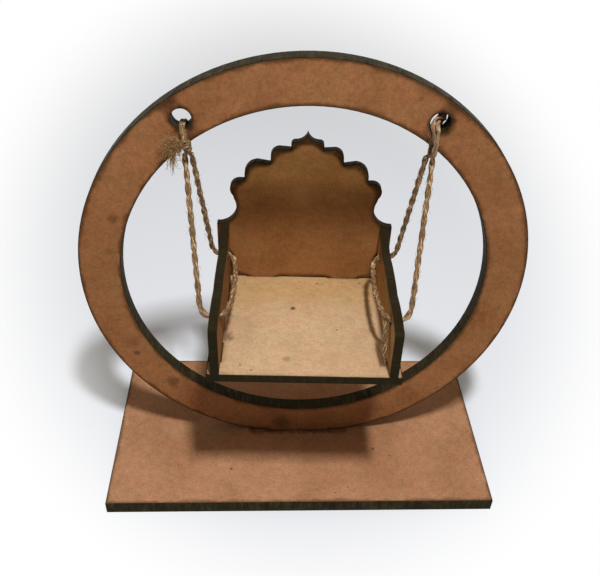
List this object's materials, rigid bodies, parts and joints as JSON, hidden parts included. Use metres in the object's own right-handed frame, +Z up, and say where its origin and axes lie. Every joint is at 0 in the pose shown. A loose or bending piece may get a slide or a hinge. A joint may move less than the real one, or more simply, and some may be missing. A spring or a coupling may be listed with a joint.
{
  "type": "indoor swing",
  "caption": "Table-top indoor swing: a small scalloped-back seat of laser-cut board, hung on jute twine in a round upright ring on a flat base.",
  "frame": {"origin": "on the table, under the middle of the base plate", "axes": "+Z up, +Y to the back of the seat, +X to the right as seen from the front; the ring stands in the plane Y = 0"},
  "size_m": [0.16, 0.083, 0.1635],
  "materials": {
    "board_stand": "laser-cut brown fibreboard with scorched edges",
    "board_seat": "laser-cut brown fibreboard with scorched edges",
    "jute": "two-ply jute twine, fuzzy"
  },
  "bodies": {
    "stand": {"base_plate": "board_stand", "ring_frame": "board_stand", "twine_loop_left": "jute", "twine_loop_right": "jute", "twine_tuft_left": "jute"},
    "seat": {"seat_floor": "board_seat", "seat_back": "board_seat", "side_panel_left": "board_seat", "side_panel_right": "board_seat", "twine_sling_left": "jute", "twine_sling_right": "jute", "twine_tail_right": "jute"}
  },
  "joints": [
    {"name": "swing", "type": "hinge", "parent": "stand", "child": "seat", "pos_m": [0, 0, 0.13118], "axis": [1, 0, 0], "range_deg": [-25, 25]}
  ]
}
